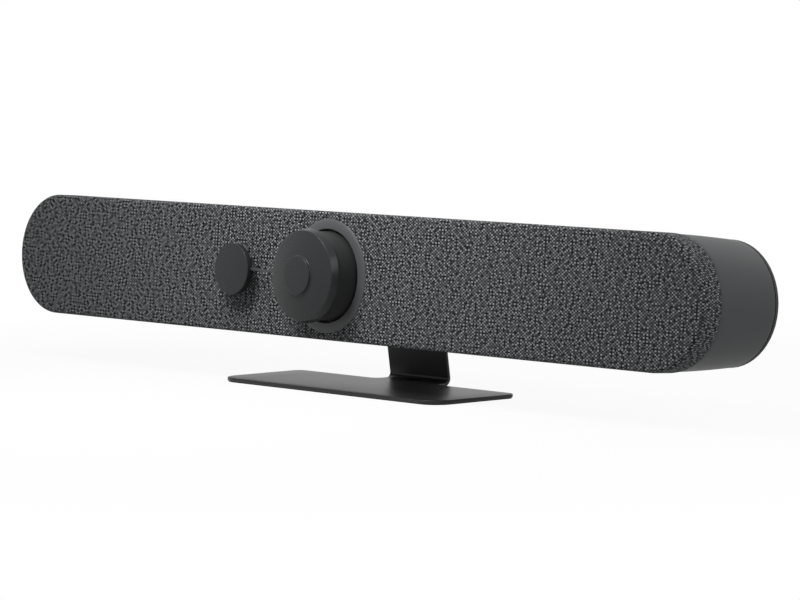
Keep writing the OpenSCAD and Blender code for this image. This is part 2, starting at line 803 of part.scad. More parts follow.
module viewfinder_ring() {
    tube = finder_in + fabric_t;
    color("#1b1c1e") in_bar() translate([-finder_x, 0, 0]) rotate_extrude()
        polygon([[finder_r, 0], [finder_r, finder_lip / 2], [finder_r - finder_lip / 2, finder_lip],
            [finder_in, finder_lip], [finder_in, finder_glass_z], [finder_in - 2 * plug_t, finder_glass_z],
            [finder_in - 2 * plug_t, -finder_depth], [tube, -finder_depth], [tube, 0]]);
}

module viewfinder_glass() {
    color("#20242c") in_bar() translate([-finder_x, 0, 0])
        pole(finder_in - 2 * plug_t - skin_gap, finder_glass_z, finder_glass_z - finder_glass_t);
}

module viewfinder_module() {
    color("#1f5a3a") in_bar() translate([-finder_x, 0, 0]) {
        translate([-finder_box / 2, -finder_box / 2, -finder_depth - board_t])
            cube([finder_box, finder_box, board_t]);
        pole(finder_in - 2 * plug_t - skin_gap, finder_glass_z - finder_glass_t - skin_gap,
            -finder_depth);
        translate([-finder_box / 4, -finder_box / 4, -finder_depth - finder_box_d / 2])
            cube([finder_box / 2, finder_box / 2, finder_box_d / 2]);
    }
}

module driver_part(side, shares) {
    in_bar() translate([side * driver_x, 0, baffle_back]) rotate_extrude()
        polygon([for (p = shares) [p[0] * driver_r, -p[1] * driver_d]]);
}

module speaker_frame_left() {
    color("#2b2d30") driver_part(-1, frame_shares);
}

module speaker_frame_right() {
    color("#2b2d30") driver_part(1, frame_shares);
}

module speaker_cone_left() {
    color("#18191b") driver_part(-1, cone_shares);
}

module speaker_cone_right() {
    color("#18191b") driver_part(1, cone_shares);
}

// A round screen with a close pattern of holes, seated in the baffle's front
module speaker_screen(side) {
    r = driver_r * driver_open_share;
    rows = floor(r / screen_pitch);
    color("#1d1f21") in_bar() translate([side * driver_x, 0, 0]) difference() {
        pole(r + screen_edge, baffle_front, baffle_front - screen_t);
        for (i = [-rows:rows], j = [-rows:rows]) {
            x = (i + (abs(j) % 2) / 2) * screen_pitch;
            y = j * screen_pitch * sin(60);
            if (norm([x, y]) < r - screen_pitch / 2) translate([x, y, 0])
                pole(screen_hole_r, 0, baffle_front - screen_t - over);
        }
    }
}

module speaker_screen_left() {
    speaker_screen(-1);
}

module speaker_screen_right() {
    speaker_screen(1);
}

module mic_board(side) {
    color("#1f5a3a") in_bar() translate([side * mic_x, mic_y, 0]) difference() {
        translate([-mic_w / 2, -mic_h / 2, baffle_back - board_t]) cube([mic_w, mic_h, board_t]);
        for (i = [0:mic_ports - 1])
            translate([(i - (mic_ports - 1) / 2) * mic_w / mic_ports, 0, 0])
                pole(mic_port_r, 0, baffle_back - board_t - over);
    }
}

module mic_board_left() {
    mic_board(-1);
}

module mic_board_right() {
    mic_board(1);
}

module main_board() {
    color("#1f5a3a") in_bar() translate([main_x - main_w / 2, -main_h / 2, main_z])
        cube([main_w, main_h, board_t]);
}

module heat_sink() {
    fins = floor(sink_w / fin_pitch);
    low = main_z + board_t;
    color("#9a9c9f") in_bar() translate([main_x, 0, low]) {
        translate([-sink_w / 2, -sink_d / 2, 0]) cube([sink_w, sink_d, sink_base]);
        for (i = [0:fins]) translate([-sink_w / 2 + i * fin_pitch, -sink_d / 2, 0])
            cube([fin_t, sink_d, sink_base + fin_h]);
    }
}

module io_board() {
    color("#1f5a3a") in_bar()
        translate([bay_x - bay_w / 2 - board_edge - bay_wall, -bay_h / 2, io_board_z])
            cube([bay_w + 2 * (board_edge + bay_wall), bay_h, board_t]);
}

module spacer(length) {
    difference() {
        cylinder(r = spacer_r, h = length);
        translate([0, 0, -over]) cylinder(r = screw_r, h = length + 2 * over);
    }
}

module board_spacers() {
    color("#b08d4f") in_bar() for (y = [-1, 1], x = [-1, 1]) {
        translate([main_x + x * (main_w / 2 - spacer_edge), y * (main_h / 2 - spacer_edge), cover_front])
            spacer(main_z - cover_front);
        translate([bay_x + x * (bay_w / 2 + bay_wall + board_edge - spacer_edge),
            y * (bay_h / 2 - spacer_edge), cover_front]) spacer(io_board_z - cover_front);
    }
}

module power_inlet() {
    color("#17181a") in_bar() translate([bay_x + jack_x, 0, 0]) {
        difference() {
            pole(jack_r, io_board_z, bay_floor);
            pole(jack_bore_r, bay_floor + jack_bore_d, bay_floor - over);
        }
        pole(jack_pin_r, bay_floor + jack_bore_d, bay_floor + over);
    }
}

module hdmi_sockets() {
    color("#a7a9ac") in_bar() at_hdmi() translate([0, 0, bay_floor]) {
        difference() {
            linear_extrude(io_board_z - bay_floor) hdmi_outline(metal_t);
            translate([0, 0, -over]) linear_extrude(socket_d + over) hdmi_outline(0);
        }
        translate([0, 0, (socket_d + over) / 2])
            cube([hdmi_w * hdmi_tongue_share, tongue_t, socket_d - over], center = true);
    }
}

module usb_sockets() {
    color("#a7a9ac") in_bar() at_usb() translate([0, 0, bay_floor]) {
        difference() {
            linear_extrude(io_board_z - bay_floor) square([usb_w, usb_h], center = true);
            translate([0, 0, -over]) linear_extrude(socket_d + over)
                square([usb_w - 2 * metal_t, usb_h - 2 * metal_t], center = true);
        }
        translate([0, usb_h / 5, (socket_d + over) / 2])
            cube([usb_w * usb_tongue_share, tongue_t, socket_d - over], center = true);
    }
}

module network_socket() {
    color("#2a2c2f") in_bar() translate([bay_x + lan_x, 0, bay_floor]) difference() {
        linear_extrude(io_board_z - bay_floor) square([lan_w, lan_h], center = true);
        translate([0, 0, -over]) linear_extrude(lan_in_d + over) {
            square([lan_w - 2 * lan_wall, lan_h - 2 * lan_wall - lan_key_h], center = true);
            translate([0, lan_wall / 2 - lan_h / 2 + lan_key_h])
                square([lan_key_w, 2 * lan_key_h], center = true);
        }
    }
}

module pairing_button() {
    flange_z = bay_floor + bay_wall + button_rest / 2;
    color("#505255") in_bar() translate([bay_x + button_x, 0, 0]) {
        pole(button_r, flange_z + button_flange_t, bay_floor - button_out);
        pole(button_r + button_flange, flange_z + button_flange_t, flange_z);
    }
}

module button_switch() {
    low = bay_floor + bay_wall + button_rest + button_flange_t + button_travel + button_rest;
    side = 2 * button_r;
    color("#8b8d90") in_bar() translate([bay_x + button_x - side / 2, -side / 2, low])
        cube([side, side, io_board_z - low]);
}

module threaded_inserts() {
    color("#b08d4f") in_bar() {
        at_wall_holes() insert();
        at_stand_holes() insert();
    }
}

module insert() {
    difference() {
        pole(insert_r + insert_wall, insert_d - bar_d, -bar_d);
        pole(insert_r, insert_d - bar_d + over, -bar_d - over);
    }
}

// The base plate's outline without its neck, drawn in by a length all round
module plate_shape(inset) {
    w = plate_w / 2 - inset;
    d = plate_d / 2 - inset;
    front = plate_front_round - inset;
    rear = plate_rear_round - inset;
    translate([front - w, -d]) square([2 * (w - front), d]);
    translate([-w, front - d]) square([2 * w, 2 * d - front - rear]);
    translate([rear - w, 0]) square([2 * (w - rear), d]);
    for (side = [-1, 1]) {
        translate([side * (w - front), front - d]) circle(front);
        translate([side * (w - rear), d - rear]) circle(rear);
    }
}

module plate_outline() {
    difference() {
        union() {
            plate_shape(0);
            translate([-neck_w / 2 - neck_fillet, 0])
                square([neck_w + 2 * neck_fillet, plate_d / 2 + neck_fillet]);
            translate([-neck_w / 2, 0]) square([neck_w, plate_d / 2 + tongue]);
        }
        for (side = [-1, 1])
            translate([side * (neck_w / 2 + neck_fillet), plate_d / 2 + neck_fillet])
                circle(neck_fillet);
    }
}

// Side view of the sheet from the plate up to the flange, at a depth below its upper face
function sheet_side(depth) = concat([[plate_d / 2 - neck_fillet, plate_top - depth]],
    turn(bend_at, bend_r + depth, -90, neck_lean, bend_steps),
    turn(bend_mid, bend_r + sheet_t - depth, 180 + neck_lean, 180 - bar_tilt, round_steps),
    [rear_mid + flange_top * rear_way + depth * rear_out]);

module stand_plate() {
    upper = sheet_side(0);
    lower = sheet_side(sheet_t);
    color("#8e9093") {
        translate([0, 0, pad_t]) linear_extrude(sheet_t) plate_outline();
        difference() {
            translate([-neck_w / 2, 0, 0]) rotate([90, 0, 90]) linear_extrude(neck_w)
                polygon(concat(upper, [for (i = [len(lower) - 1:-1:0]) lower[i]]));
            in_bar() translate([0, 0, -bar_d - sheet_t - over]) linear_extrude(sheet_t + 2 * over) {
                for (x = [-screw_x, screw_x]) translate([x, stand_screw_y]) circle(insert_r + skin_gap);
                difference() {
                    translate([-neck_w / 2 - over, flange_top - flange_round])
                        square([neck_w + 2 * over, flange_round + over]);
                    translate([0, flange_top - neck_w / 2]) soft_rect(neck_w, neck_w, flange_round);
                }
            }
        }
    }
}

module stand_pad() {
    color("#1a1b1c") linear_extrude(pad_t) plate_shape(pad_inset);
}

module stand_screws() {
    color("#6a6c6f") in_bar() at_stand_holes() translate([0, 0, -bar_d - sheet_t - stand_head_h])
        screw_up(stand_head_r, stand_head_h, insert_r - run_gap, sheet_t + stand_screw_d, insert_r);
}

fabric_grille();
front_baffle();
rear_housing();
rear_cover();
vent_panel();
cover_screws();
lens_bezel();
camera_head();
lens_barrel();
lens_glass();
lens_element();
sensor_board();
tilt_shafts();
pan_yoke();
tilt_motor();
pan_shaft();
pan_motor();
gimbal_frame();
gimbal_screws();
lens_cap();
cap_sleeve();
viewfinder_cap();
viewfinder_plug();
cap_tether();
viewfinder_ring();
viewfinder_glass();
viewfinder_module();
speaker_frame_left();
speaker_frame_right();
speaker_cone_left();
speaker_cone_right();
speaker_screen_left();
speaker_screen_right();
mic_board_left();
mic_board_right();
main_board();
heat_sink();
io_board();
board_spacers();
power_inlet();
hdmi_sockets();
usb_sockets();
network_socket();
pairing_button();
button_switch();
threaded_inserts();
stand_plate();
stand_pad();
stand_screws();
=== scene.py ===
import json
import math
import bpy
import numpy as np
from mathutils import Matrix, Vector


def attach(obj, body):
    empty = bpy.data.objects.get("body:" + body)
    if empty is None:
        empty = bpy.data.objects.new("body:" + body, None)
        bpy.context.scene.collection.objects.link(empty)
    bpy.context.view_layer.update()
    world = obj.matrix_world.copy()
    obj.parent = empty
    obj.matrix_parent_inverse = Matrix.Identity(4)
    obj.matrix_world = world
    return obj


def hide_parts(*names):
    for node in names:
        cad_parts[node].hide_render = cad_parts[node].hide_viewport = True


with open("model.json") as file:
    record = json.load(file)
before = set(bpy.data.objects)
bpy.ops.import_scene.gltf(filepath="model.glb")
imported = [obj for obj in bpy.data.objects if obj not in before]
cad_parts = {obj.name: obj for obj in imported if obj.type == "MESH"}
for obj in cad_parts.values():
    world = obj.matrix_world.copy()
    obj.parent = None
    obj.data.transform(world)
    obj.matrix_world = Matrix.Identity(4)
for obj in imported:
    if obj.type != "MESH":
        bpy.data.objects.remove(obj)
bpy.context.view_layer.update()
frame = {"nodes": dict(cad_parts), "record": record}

# Camera
# The bar is seen from its front right and a little above it, through a long lens,
# with its heading found from the bar's long edges and the corners of the base plate.
eye = Vector((1.9789, -1.7606, 0.2744))
aim = Vector((0.0756, -0.0348, 0.0699))
camera = bpy.data.objects.new("camera", bpy.data.cameras.new("camera"))
camera.data.lens = 168.9
camera.location = eye
camera.rotation_euler = (aim - eye).to_track_quat("-Z", "Y").to_euler()
bpy.context.scene.collection.objects.link(camera)
bpy.context.scene.camera = camera

# Stretched fabric
# A heathered woven polyester, stretched over the front baffle and glued behind its rim.
# It has one hole for the lens bezel and one for the small sight window beside it.
lean_degrees = 3.6
bar_tilt = math.radians(lean_degrees)
bar_ahead, bar_rise = 34.788, 82.3
half_run = 315.35
fabric_r = 45.15
fabric_t = 1.0
fabric_edge = 2.5
fabric_low = -16.8
band_places = [-4, -9, -15]
lens_hole, lens_clear = 36.2, 42
sight_x = -91.5
sight_hole, sight_clear = 8.8, 14
face_steps = 8


def on_bar(x, y, z):
    """Points of the bar's own frame in mm (x along it, y up its front, z out of the fabric)
    turned back about X by the bar's lean and set on the stand, in metres."""
    lean, stand = math.sin(bar_tilt), math.cos(bar_tilt)
    back = y * lean - z * stand - bar_ahead
    rise = y * stand + z * lean + bar_rise
    return np.stack(np.broadcast_arrays(x, back, rise), -1) / 1000


def skin(name, points, flat=None, crease=35):
    """A closed mesh with one face for each cell of a grid of points, whose last row and column
    join the first. Points in one place become one, cells drawn out to a line are left out, and
    the faces are turned round if the signed volume under them is negative."""
    rows, cols = points.shape[:2]
    number = np.pad(np.arange(rows * cols).reshape(rows, cols), ((0, 1), (0, 1)), "wrap")
    cells = np.stack([number[:-1, :-1], number[1:, :-1], number[1:, 1:], number[:-1, 1:]], -1)
    cells = cells.reshape(-1, 4)
    spots, joined = np.unique(np.round(points.reshape(-1, 3), 7), axis=0, return_inverse=True)
    a, b, c, d = np.moveaxis(spots[joined.ravel()[cells]], 1, 0)
    volume = np.sum(a * np.cross(b, c)) + np.sum(a * np.cross(c, d))
    if volume < 0:
        cells = cells[:, ::-1]
    corner = joined.ravel()[cells]
    kept = corner != np.roll(corner, -1, 1)
    whole = kept.sum(1) > 2
    kept, cells, corner = kept[whole], cells[whole], corner[whole]
    sides = kept.sum(1)
    mesh = bpy.data.meshes.new(name)
    mesh.vertices.add(len(spots))
    mesh.vertices.foreach_set("co", spots.ravel())
    mesh.loops.add(int(sides.sum()))
    mesh.loops.foreach_set("vertex_index", corner[kept])
    mesh.polygons.add(len(sides))
    mesh.polygons.foreach_set("loop_start", np.cumsum(sides) - sides)
    mesh.update(calc_edges=True)
    if flat is not None:
        spread = flat.reshape(-1, 2)[cells[kept]]
        mesh.uv_layers.new(name="flat").data.foreach_set("uv", spread.ravel())
    mesh.shade_smooth()
    mesh.set_sharp_from_angle(angle=math.radians(crease))
    piece = bpy.data.objects.new(name, mesh)
    bpy.context.scene.collection.objects.link(piece)
    return piece


def round_bar(ribs):
    """Where each rib across the bar starts on its long middle line, and the way it runs: straight
    up from the middle line, fanned round the right end, straight down, fanned round the left."""
    turn = np.linspace(np.pi / 2, -np.pi / 2, 49)[1:-1]
    right, left = np.full(len(turn), half_run), np.full(len(turn), -half_run)
    start = np.concatenate([ribs, right, ribs[::-1], left])
    up, down = np.full(len(ribs), np.pi / 2), np.full(len(ribs), -np.pi / 2)
    heading = np.concatenate([up, turn, down, turn - np.pi])
    return start, np.stack([np.cos(heading), np.sin(heading)], -1)


class Flow:
    """A value that flows through a finish's nodes. Each operator on it adds one Math node."""

    def __init__(self, finish, socket):
        self.finish, self.socket = finish, socket

    def math(self, operation, *others, reflected=False):
        """One Math node that takes this value first, or last where reflected is true."""
        values = (*others, self) if reflected else (self, *others)
        sockets = dict(enumerate(values))
        return self.finish.node("ShaderNodeMath", {"operation": operation}, sockets)

    def __add__(self, other):
        return self.math("ADD", other)

    def __sub__(self, other):
        return self.math("SUBTRACT", other)

    def __rsub__(self, other):
        return self.math("SUBTRACT", other, reflected=True)

    def __mul__(self, other):
        return self.math("MULTIPLY", other)

    __radd__, __rmul__ = __add__, __mul__


class Finish:
    """A material in the making, or the world where one is given. node() adds one node: its kind,
    its settings, then what goes into its sockets, each a number, a colour or a Flow."""

    def __init__(self, name, world=None):
        self.material = world or bpy.data.materials.new(name)
        self.material.use_nodes = True
        self.tree = self.material.node_tree
        self.tree.nodes.clear()

    def node(self, kind, settings=None, sockets=None, out=0):
        made = self.tree.nodes.new(kind)
        for key, value in (settings or {}).items():
            setattr(made, key, value)
        for key, value in (sockets or {}).items():
            if isinstance(value, Flow):
                self.tree.links.new(value.socket, made.inputs[key])
            else:
                made.inputs[key].default_value = value
        return Flow(self, made.outputs[out]) if made.outputs else None

    def place(self):
        return self.node("ShaderNodeTexCoord", out="Object")

    def cloud(self, size, where=None, detail=3.0):
        """Noise from 0 to 1, whose patches are about size metres across."""
        return self.node("ShaderNodeTexNoise", {}, {
            "Vector": where or self.place(), "Scale": 1 / size, "Detail": detail})

    def between(self, low, high, share):
        """The colour that lies share of the way from low to high."""
        return self.node("ShaderNodeMix", {"data_type": "RGBA"}, {
            "Factor": share, 6: (*low, 1), 7: (*high, 1)}, out=2)

    def bump(self, height, depth, strength=1.0):
        return self.node("ShaderNodeBump", {}, {
            "Height": height, "Distance": depth, "Strength": strength})

    def surface(self, **sockets):
        """Ends the nodes in one Principled shader. An underscore stands for a space."""
        shader = self.node("ShaderNodeBsdfPrincipled", {}, {
            key.replace("_", " "): value for key, value in sockets.items()})
        self.node("ShaderNodeOutputMaterial", {}, {"Surface": shader})
        return self.material


def fit(piece, material, slot, *nodes, body="root"):
    """Gives a piece its finish and its body, and hides the CAD nodes that it stands for."""
    piece.data.materials.append(material)
    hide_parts(*nodes)
    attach(piece, body)


def fabric_skin():
    """Each rib of the cloth runs from the middle slit, or from the edge of a hole's half circle,
    to the rim, round the front edge by a quarter circle, back along the band, round the hem's
    small half circle and the same way home, one cloth's thickness inside."""
    swing = np.cos(np.linspace(np.pi, 0, 25))
    ribs = np.concatenate([
        np.linspace(-half_run, sight_x - sight_clear, 20), sight_x + sight_hole * swing,
        np.linspace(sight_x + sight_clear, -lens_clear, 5), lens_hole * swing,
        np.linspace(lens_clear, half_run, 24)])
    start, way = round_bar(ribs)
    near_lens = np.clip(lens_hole ** 2 - start ** 2, 0, None)
    near_sight = np.clip(sight_hole ** 2 - (start - sight_x) ** 2, 0, None)
    inner = np.sqrt(near_lens + near_sight) * (np.abs(way[:, 0]) < 1e-6)
    corner, hem = np.linspace(0, np.pi / 2, 9), np.linspace(0, np.pi, 7)
    flat_r = fabric_r - fabric_edge
    band_z = np.linspace(band_places[0], fabric_low + fabric_t, 6)
    bend_r = np.concatenate([
        flat_r + fabric_edge * np.sin(corner), np.full(len(band_z), fabric_r)])
    bend_z = np.concatenate([fabric_edge * (np.cos(corner) - 1), band_z])
    hem_r = fabric_r - fabric_t / 2 + fabric_t / 2 * np.cos(hem)
    hem_z = fabric_low + fabric_t / 2 - fabric_t / 2 * np.sin(hem)
    in_edge = fabric_edge - fabric_t
    in_r = np.concatenate([
        np.full(len(band_places), fabric_r - fabric_t), flat_r + in_edge * np.sin(corner[::-1])])
    in_z = np.concatenate([band_places[::-1], in_edge * np.cos(corner[::-1]) - fabric_edge])
    lead = inner[:, None] + (flat_r - inner[:, None]) * np.linspace(0, 1, face_steps + 1)
    ends = np.ones((len(start), 1))
    reach = np.hstack([
        lead[:, :-1], ends * bend_r, ends * hem_r[1:-1], ends * in_r, lead[:, -2::-1]])
    height = np.concatenate([
        np.zeros(face_steps), bend_z, hem_z[1:-1], in_z, np.full(face_steps, -fabric_t)])
    step = np.hypot(np.diff(reach, axis=1), np.diff(height))
    along = np.hstack([reach[:, :1], reach[:, :1] + np.cumsum(step, 1)])
    flat = np.stack([start[:, None] + way[:, :1] * along, way[:, 1:] * along], -1) / 1000
    spots = on_bar(start[:, None] + way[:, :1] * reach, way[:, 1:] * reach, height)
    return skin("fabric_front", spots, flat)


def heather():
    """A plain open weave: the cell's column and row make the checks where a light thread stands
    up or a dark gap lies between threads, and each check is a half sine both ways. The dark gaps
    and the half sine's fall towards each check's sides are painted shade in the colour, and the
    same relief lifts the bump. White noise gives each thread its own tint, less half the tints of
    two neighbours, so no patches form."""
    finish = Finish("heathered_weave")
    cell_x, cell_y = 0.00156, 0.00112
    gap_shade_level, mean_tint, own_tint = 0.12, 0.55, 1.14
    cloth = finish.node("ShaderNodeUVMap", {"uv_map": "flat"})
    parts = finish.node("ShaderNodeSeparateXYZ", {}, {"Vector": cloth})
    across = parts * (1 / cell_x)
    up = Flow(finish, parts.socket.node.outputs["Y"]) * (1 / cell_y)
    column, row = across.math("FLOOR"), up.math("FLOOR")
    side, rise = (across - column) * math.pi, (up - row) * math.pi
    check = (column + row).math("FLOORED_MODULO", 2.0)
    swell_and_shade = rise.math("SINE") * side.math("SINE")
    tone, beside, below = (
        finish.node("ShaderNodeTexWhiteNoise", {"noise_dimensions": "2D"}, {"Vector": finish.node(
            "ShaderNodeCombineXYZ", {}, {"X": column + ahead, "Y": row + above})})
        for ahead, above in ((0, 0), (1, 1), (1, -1)))
    cloud = finish.cloud(0.05, cloth)
    # Painted shade: the dark gaps and each thread's half-sine fall darken the colour; the same
    # relief lifts the bump
    relief_and_shade = (gap_shade_level + (1 - gap_shade_level) * check) * (0.5 + 0.5 * swell_and_shade)
    tint = mean_tint + own_tint * tone - own_tint / 2 * beside - own_tint / 2 * below
    level = relief_and_shade * tint * (0.9 + 0.2 * cloud)
    colour = finish.between((0.002, 0.0023, 0.0026), (0.41, 0.426, 0.44), level)
    return finish.surface(
        Base_Color=colour, Roughness=0.8 + 0.15 * tone, Specular_IOR_Level=0.2,
        Normal=finish.bump(relief_and_shade + 0.2 * tone, 0.0002, 0.4))


fabric = fabric_skin()
weave = heather()
fit(fabric, weave, "grille_fabric", "fabric_grille")
cut_r = fabric_r - fabric_edge + math.pi / 2 * fabric_edge - fabric_low - fabric_edge
cut_area = math.pi * (cut_r ** 2 - lens_hole ** 2 - sight_hole ** 2) + 4 * half_run * cut_r

# Rear housing
# One moulded shell of dark ABS behind the fabric, drawn in towards the back with a curve,
# with a fine spark-eroded grain and softened lips at both ends.
shell_r, shell_back_r = 44.55, 41.95
shell_front, shell_back = -17.3, -71.1
shell_wall = 2.6
taper_power = 1.5
lip_r = 0.5


def carried(name, profile):
    """A closed profile of (distance from the bar's middle line, height) carried once round it."""
    start, way = round_bar(np.linspace(-half_run, half_run, 33))
    x, y = start[:, None] + way[:, :1] * profile[:, 0], way[:, 1:] * profile[:, 0]
    return skin(name, on_bar(x, y, profile[:, 1]))


def moulded(name, colour, roughness, grain=0.0007, depth=0.00003, **more):
    """Moulded plastic: its colour drifts a little in broad clouds, and a fine grain dimples it and
    breaks up its gloss."""
    finish = Finish(name)
    cloud, fine = finish.cloud(0.06), finish.cloud(grain, detail=2.0)
    shade = [tuple(c * share for c in colour) for share in (0.9, 1.1)]
    return finish.surface(**{
        "Base_Color": finish.between(*shade, cloud * 0.7 + fine * 0.3),
        "Roughness": roughness - 0.05 + 0.06 * cloud + 0.08 * fine,
        "Specular_IOR_Level": 0.22, "Normal": finish.bump(fine, depth), **more})


depth_share = np.linspace(0, 1, 17)
taper = shell_r - (shell_r - shell_back_r) * depth_share ** taper_power
taper_z = shell_front - lip_r + (shell_back - shell_front + 2 * lip_r) * depth_share
lip = np.linspace(0, np.pi / 2, 5)
lip_out, lip_in = lip_r * np.sin(lip), lip_r * np.cos(lip)
shell_profile = np.concatenate([
    [[shell_r - shell_wall, shell_front]],
    np.stack([shell_r - lip_r + lip_out, shell_front - lip_r + lip_in], -1),
    np.stack([taper, taper_z], -1)[1:-1],
    np.stack([shell_back_r - lip_r + lip_in, shell_back + lip_r - lip_out], -1),
    [[shell_back_r - shell_wall, shell_back]]])
shell_plastic = moulded("shell_abs", (0.061, 0.0635, 0.0655), 0.48)
fit(carried("shell", shell_profile), shell_plastic, "shell_plastic", "rear_housing")

# Lens bezel
# A ring of satin plastic round the camera: a low flare that rises from the fabric to a crest at
# its round opening, with a collar clipped through the baffle.
crest_r, crest_h = 33.4, 1.5
flare_w = 6.7
mouth_in, mouth_dip = 0.9, 1.2
collar_r, ledge_r = 36.0, 29.4
ledge_top, collar_low = -4.3, -5.4


def turned(name, profile, x=0.0, steps=120, crease=35):
    """A closed profile of (radius, height) turned once round the bar's Z axis at x."""
    angle = np.arange(steps)[:, None] * 2 * np.pi / steps
    reach = profile[:, 0]
    spots = on_bar(x + reach * np.cos(angle), reach * np.sin(angle), profile[:, 1])
    return skin(name, spots, crease=crease)


flare = np.linspace(0, np.pi / 2, 25)
bezel_profile = np.concatenate([
    np.stack([crest_r + flare_w * np.cos(flare), crest_h * np.sin(flare)], -1),
    np.stack([crest_r - mouth_in * np.sin(flare),
              (crest_h + mouth_dip) * np.cos(flare) - mouth_dip], -1)[1:],
    [[crest_r - mouth_in, ledge_top], [ledge_r, ledge_top], [ledge_r, collar_low],
     [collar_r, collar_low], [collar_r, 0.0]]])
bezel_plastic = moulded("bezel_satin", (0.09, 0.092, 0.095), 0.42, 0.0005, 0.000015)
fit(turned("bezel_ring", bezel_profile), bezel_plastic, "bezel_plastic", "lens_bezel")

# Lens cap and its sleeve
# A thick cap of dark rubbery plastic that pushes into the bezel: a domed face with a plain
# raised disc, a flared rim, and a hollow sleeve that reaches down to the ledge.
disc_r, disc_z, disc_edge = 13.6, 29.45, 0.6
disc_draft, disc_foot, disc_fillet = 0.1, 27.5, 0.9
dome_from, dome_to, dome_h = 15.2, 31.2, 4
face_r, face_z, face_edge = 31.6, 24.3, 0.7
rim_r, rim_round_z, rim_edge = 33.2, 18.7, 0.5
rim_low, rim_lip = 18.2, 0.2
seat_r, seat_z = 31.36, 22.1
sleeve_r, sleeve_low, sleeve_edge = 31.3, -4.0, 0.5
sleeve_bore, sleeve_mouth = 29.1, 0.4
sleeve_floor, sleeve_fillet = 19.9, 1.2


def rounded(corners, steps=6):
    """A closed profile with its corners rounded: each corner (r, z, radius) becomes the arc of
    that radius that touches the two sides meeting there, cut short where a side is too short."""
    spot, radius = np.array(corners, float)[:, :2], np.array(corners, float)[:, 2:]
    back, ahead = np.roll(spot, 1, 0) - spot, np.roll(spot, -1, 0) - spot
    room = np.minimum(np.linalg.norm(back, axis=1), np.linalg.norm(ahead, axis=1))[:, None] * 0.49
    back /= np.linalg.norm(back, axis=1, keepdims=True)
    ahead /= np.linalg.norm(ahead, axis=1, keepdims=True)
    half = np.arccos(np.clip((back * ahead).sum(1, keepdims=True), -0.9999, 0.9999)) / 2
    radius = np.minimum(radius, room * np.tan(half))
    middle = back + ahead
    middle = spot + middle / np.linalg.norm(middle, axis=1, keepdims=True) * radius / np.sin(half)
    length = radius / np.tan(half)
    start, end = spot + back * length - middle, spot + ahead * length - middle
    share = np.linspace(0, 1, steps + 1)[None, :, None]
    bend = (np.pi - 2 * half)[:, None]
    arc = np.sin((1 - share) * bend) * start[:, None] + np.sin(share * bend) * end[:, None]
    return (middle[:, None] + arc / np.sin(bend)).reshape(-1, 2)


dome_r = np.linspace(dome_from, dome_to, 8)[:-1]
dome = np.stack([dome_r, face_z + dome_h * (1 - (dome_r / dome_to) ** 2), 0 * dome_r], -1)
cap_profile = rounded([
    (0, disc_z, 0), (disc_r, disc_z, disc_edge), (disc_r + disc_draft, disc_foot, disc_fillet),
    *dome, (face_r, face_z, face_edge), (rim_r, rim_round_z, rim_edge), (rim_r, rim_low, rim_lip),
    (seat_r, rim_low, 0), (seat_r, seat_z, 0), (0, seat_z, 0)])
cap_plastic = moulded("cap_plastic", (0.0265, 0.0275, 0.029), 0.25, 0.0006, 0.000008,
                      Specular_IOR_Level=0.18)
fit(turned("cap_face", cap_profile), cap_plastic, "cap_plastic", "lens_cap", body="lens_cap")
sleeve_profile = rounded([
    (0, seat_z, 0), (sleeve_r, seat_z, 0), (sleeve_r, sleeve_low, sleeve_edge),
    (sleeve_bore, sleeve_low, sleeve_mouth), (sleeve_bore, sleeve_floor, sleeve_fillet),
    (0, sleeve_floor, 0)])
sleeve_plastic = moulded("sleeve_plastic", (0.038, 0.0385, 0.039), 0.36, 0.0006, 0.00001)
fit(turned("cap_barrel", sleeve_profile), sleeve_plastic, "cap_rubber", "cap_sleeve",
    body="lens_cap")

# Sight window's cap and the strap
# A small round cap with a hollow plug closes the sight window. A thin strap with rounded
# edges joins it to the large cap and hangs nearly level between them.
small_r, small_top, small_low, small_edge = 18.5, 12.2, 7.5, 0.6
plug_r, plug_top, plug_low, plug_edge = 7.3, 8.7, -1.8, 0.5
plug_bore, plug_mouth = 5.8, 0.3
plug_floor, plug_fillet = 6.0, 0.6
plug_fit = 0.05
small_profile = rounded([
    (0, small_top, 0), (small_r, small_top, small_edge), (small_r, small_low, small_edge),
    (plug_r + plug_fit, small_low, 0), (plug_r + plug_fit, plug_top, 0), (0, plug_top, 0)])
fit(turned("small_cap", small_profile, sight_x), cap_plastic, "cap_plastic", "viewfinder_cap",
    body="lens_cap")
plug_profile = rounded([
    (0, plug_top, 0), (plug_r, plug_top, 0), (plug_r, plug_low, plug_edge),
    (plug_bore, plug_low, plug_mouth), (plug_bore, plug_floor, plug_fillet), (0, plug_floor, 0)])
fit(turned("small_plug", plug_profile, sight_x, steps=72), sleeve_plastic, "cap_rubber",
    "viewfinder_plug", body="lens_cap")
strap_from, strap_to = -72.8, -33.4
strap_low, strap_high = 9.55, 19.8
strap_half_w, strap_half_t = 1.1, 0.6
strap_dip = 0.4
strap_power, strap_closing = 0.6, 60


def strap_skin():
    """The strap's middle runs straight in x while it rises outwards by half a cosine and dips by a
    sine squared, and its section is a super ellipse, flat on both faces and round at the edges."""
    share = np.linspace(0, 1, 61)[:, None]
    angle = np.arange(24) * 2 * np.pi / 24
    wide = strap_half_w * np.sign(np.sin(angle)) * np.abs(np.sin(angle)) ** strap_power
    thick = strap_half_t * np.sign(np.cos(angle)) * np.abs(np.cos(angle)) ** strap_power
    ends = np.clip(np.sin(np.pi * share) * strap_closing, 0, 1)
    ease = (1 - np.cos(np.pi * share)) / 2
    x = strap_from + (strap_to - strap_from) * share
    y = strap_half_w - strap_dip * np.sin(np.pi * share) ** 2 + wide * ends
    z = strap_low + (strap_high - strap_low) * ease + thick * ends
    return skin("strap", on_bar(x, y, z), crease=60)


fit(strap_skin(), moulded("strap_rubber", (0.05, 0.051, 0.053), 0.5), "cap_rubber", "cap_tether",
    body="lens_cap")

